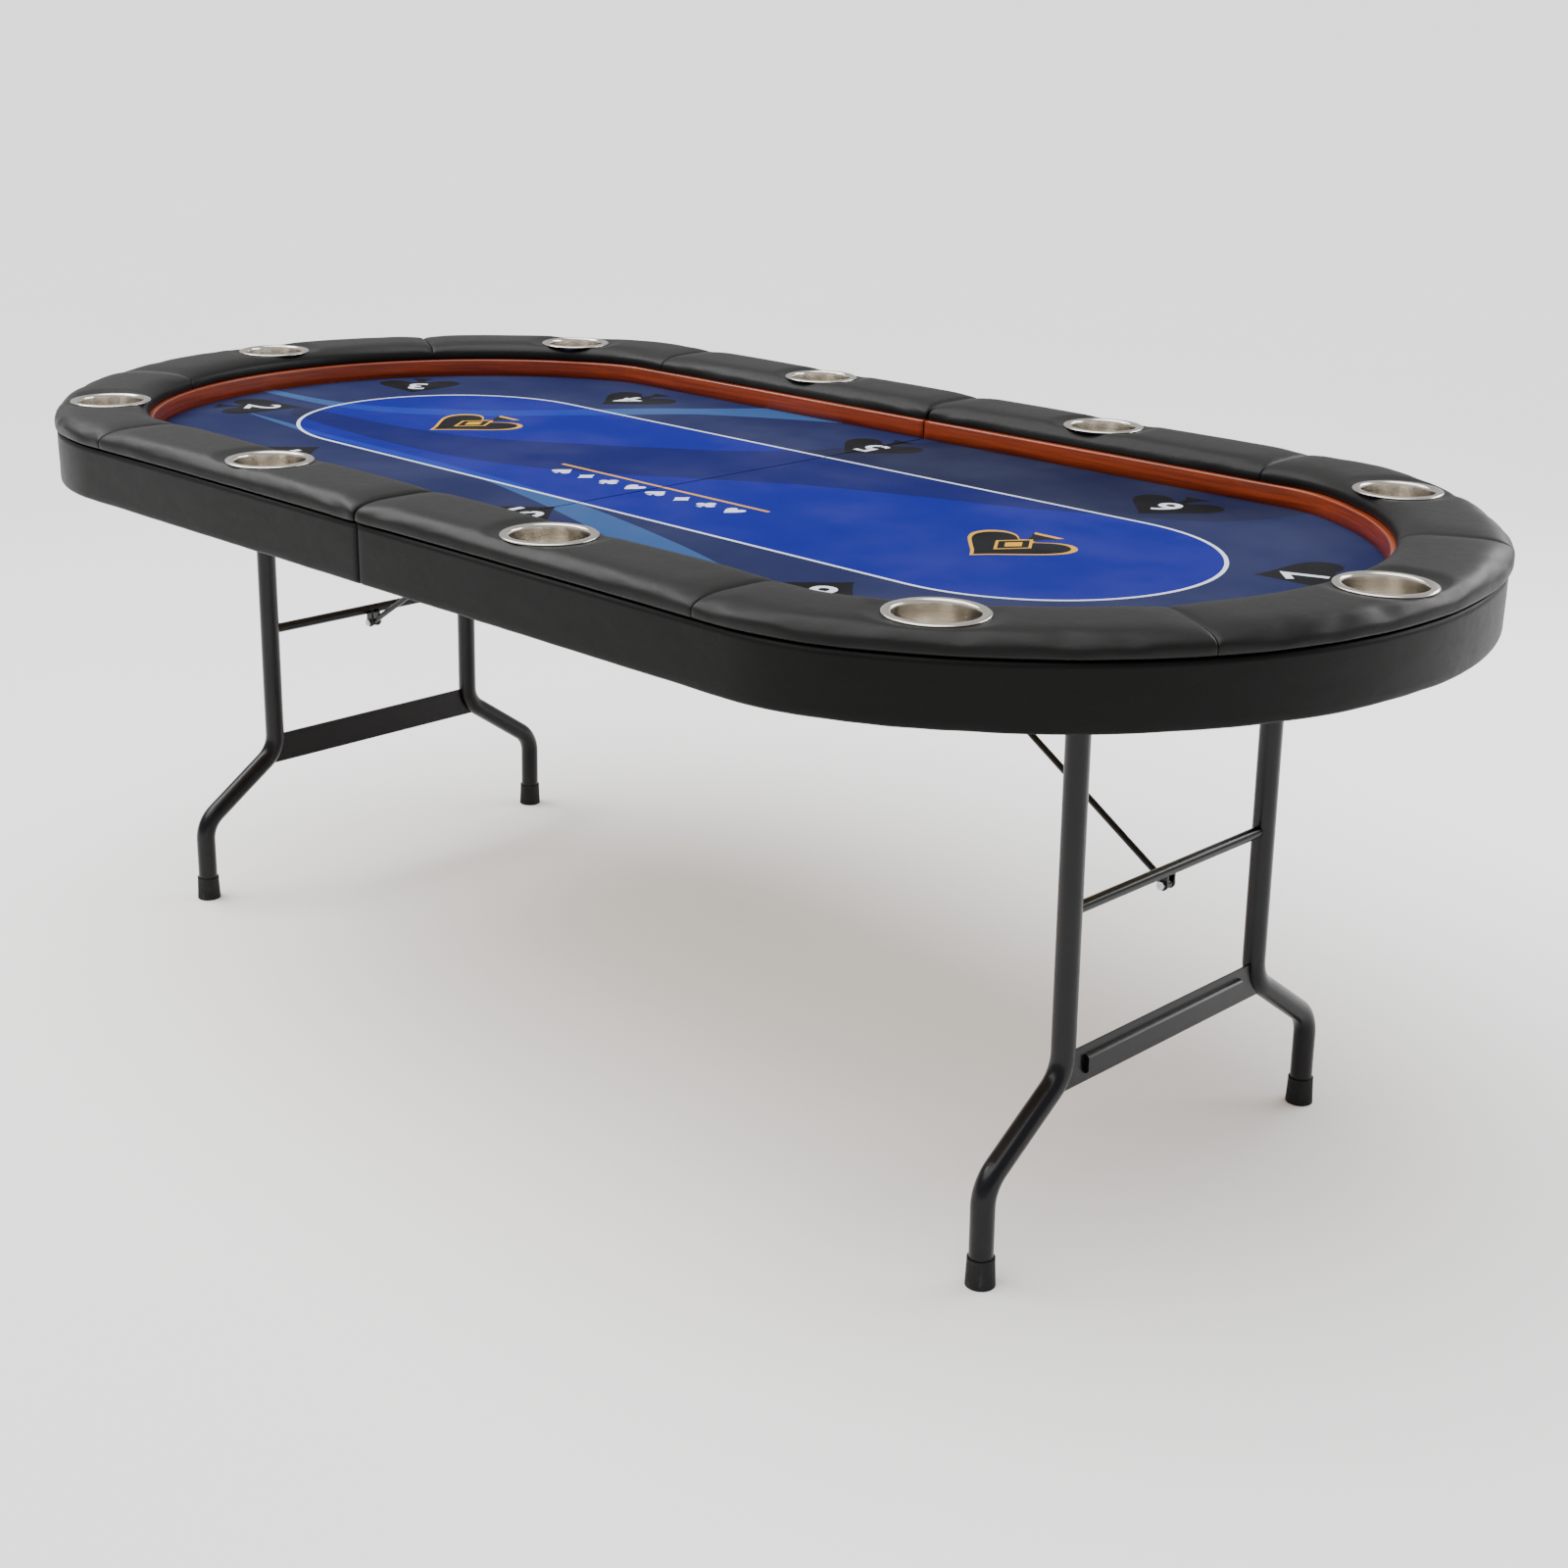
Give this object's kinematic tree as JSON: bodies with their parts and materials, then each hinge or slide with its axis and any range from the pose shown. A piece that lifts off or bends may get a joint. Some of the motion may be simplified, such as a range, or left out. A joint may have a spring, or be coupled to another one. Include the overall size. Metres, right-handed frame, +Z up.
{
  "type": "folding poker table",
  "caption": "Oval card table with padded rail, steel cup holders and printed cloth, whose two halves fold underside to underside on folding tubular steel legs.",
  "frame": {"origin": "on the floor under the middle of the open table", "axes": "+X along the length of the table, +Y across it to the rear side, +Z up"},
  "size_m": [2.142, 1.126, 0.787],
  "materials": {
    "plywood": "unfinished plywood",
    "foam": "thin closed foam",
    "printed_cloth": "blue printed speed cloth",
    "stained_wood": "red-brown stained and varnished",
    "rail_vinyl": "soft black vinyl",
    "skirt_vinyl": "black vinyl pulled tight",
    "rail_pine": "planed softwood",
    "stainless_steel": "brushed",
    "zinc_steel": "zinc plated",
    "black_steel": "semi-gloss black powder coat",
    "black_rubber": "matte black rubber"
  },
  "bodies": {
    "left_half": {"left_board": "plywood", "left_foam": "foam", "left_cloth": "printed_cloth", "left_wood_band": "stained_wood", "left_rail_base": "plywood", "left_pad_front": "rail_vinyl", "left_pad_front_corner": "rail_vinyl", "left_pad_end": "rail_vinyl", "left_pad_rear_corner": "rail_vinyl", "left_pad_rear": "rail_vinyl", "left_skirt": "skirt_vinyl", "left_fold_rail": "rail_pine", "left_cup_holders": "stainless_steel", "left_hinge_leaves": "zinc_steel", "left_hinge_pins": "zinc_steel", "left_leg_brackets": "black_steel", "left_pivot_rod": "zinc_steel", "left_brace_anchor": "black_steel", "left_screws": "zinc_steel", "latch_pins": "zinc_steel"},
    "hinge_link": {"hinge_links": "zinc_steel"},
    "right_half": {"right_board": "plywood", "right_foam": "foam", "right_cloth": "printed_cloth", "right_wood_band": "stained_wood", "right_rail_base": "plywood", "right_pad_front": "rail_vinyl", "right_pad_front_corner": "rail_vinyl", "right_pad_end": "rail_vinyl", "right_pad_rear_corner": "rail_vinyl", "right_pad_rear": "rail_vinyl", "right_skirt": "skirt_vinyl", "right_fold_rail": "rail_pine", "right_cup_holders": "stainless_steel", "right_hinge_leaves": "zinc_steel", "right_hinge_pins": "zinc_steel", "right_leg_brackets": "black_steel", "right_pivot_rod": "zinc_steel", "right_brace_anchor": "black_steel", "right_screws": "zinc_steel"},
    "latch_front_bar": {"latch_front": "zinc_steel"},
    "latch_rear_bar": {"latch_rear": "zinc_steel"},
    "left_leg": {"left_leg_tube_front": "black_steel", "left_leg_tube_rear": "black_steel", "left_crossbar": "black_steel", "left_spreader_plate": "black_steel", "left_foot_caps": "black_rubber", "left_brace_tab": "black_steel", "left_brace_bolt": "zinc_steel"},
    "left_brace_lower_link": {"left_brace_lower": "black_steel"},
    "left_brace_upper_link": {"left_brace_upper": "black_steel"},
    "right_leg": {"right_leg_tube_front": "black_steel", "right_leg_tube_rear": "black_steel", "right_crossbar": "black_steel", "right_spreader_plate": "black_steel", "right_foot_caps": "black_rubber", "right_brace_tab": "black_steel", "right_brace_bolt": "zinc_steel"},
    "right_brace_lower_link": {"right_brace_lower": "black_steel"},
    "right_brace_upper_link": {"right_brace_upper": "black_steel"}
  },
  "joints": [
    {"name": "left_fold", "type": "hinge", "parent": "left_half", "child": "hinge_link", "pos_m": [-0.006, 0, 0.6905], "axis": [0, 1, 0], "range_deg": [0, 90]},
    {"name": "right_fold", "type": "hinge", "parent": "hinge_link", "child": "right_half", "pos_m": [0.006, 0, 0.6905], "axis": [0, 1, 0], "range_deg": [0, 90]},
    {"name": "left_leg_fold", "type": "hinge", "parent": "left_half", "child": "left_leg", "pos_m": [-0.765, 0, 0.704], "axis": [0, -1, 0], "range_deg": [0, 91]},
    {"name": "left_brace_bolt_turn", "type": "hinge", "parent": "left_leg", "child": "left_brace_lower_link", "pos_m": [-0.76457, 0, 0.38494], "axis": [0, -1, 0], "range_deg": [-124.28, 0]},
    {"name": "left_brace_anchor_turn", "type": "hinge", "parent": "left_half", "child": "left_brace_upper_link", "pos_m": [-0.25, 0, 0.71], "axis": [0, -1, 0], "range_deg": [0, 148.72]},
    {"name": "right_leg_fold", "type": "hinge", "parent": "right_half", "child": "right_leg", "pos_m": [0.765, 0, 0.704], "axis": [0, 1, 0], "range_deg": [0, 91]},
    {"name": "right_brace_bolt_turn", "type": "hinge", "parent": "right_leg", "child": "right_brace_lower_link", "pos_m": [0.76457, 0, 0.38494], "axis": [0, 1, 0], "range_deg": [-124.28, 0]},
    {"name": "right_brace_anchor_turn", "type": "hinge", "parent": "right_half", "child": "right_brace_upper_link", "pos_m": [0.25, 0, 0.71], "axis": [0, 1, 0], "range_deg": [0, 148.72]},
    {"name": "latch_front_turn", "type": "hinge", "parent": "left_half", "child": "latch_front_bar", "pos_m": [-0.015, -0.29, 0.688], "axis": [0, 0, -1], "range_deg": [0, 90]},
    {"name": "latch_rear_turn", "type": "hinge", "parent": "left_half", "child": "latch_rear_bar", "pos_m": [-0.015, 0.29, 0.688], "axis": [0, 0, -1], "range_deg": [0, 90]}
  ],
  "couplings": [
    {"joint": "left_brace_bolt_turn", "follows": "left_leg_fold", "ratio": -1.3547},
    {"joint": "left_brace_anchor_turn", "follows": "left_leg_fold", "ratio": 1.6233},
    {"joint": "right_brace_bolt_turn", "follows": "right_leg_fold", "ratio": -1.3547},
    {"joint": "right_brace_anchor_turn", "follows": "right_leg_fold", "ratio": 1.6233}
  ]
}
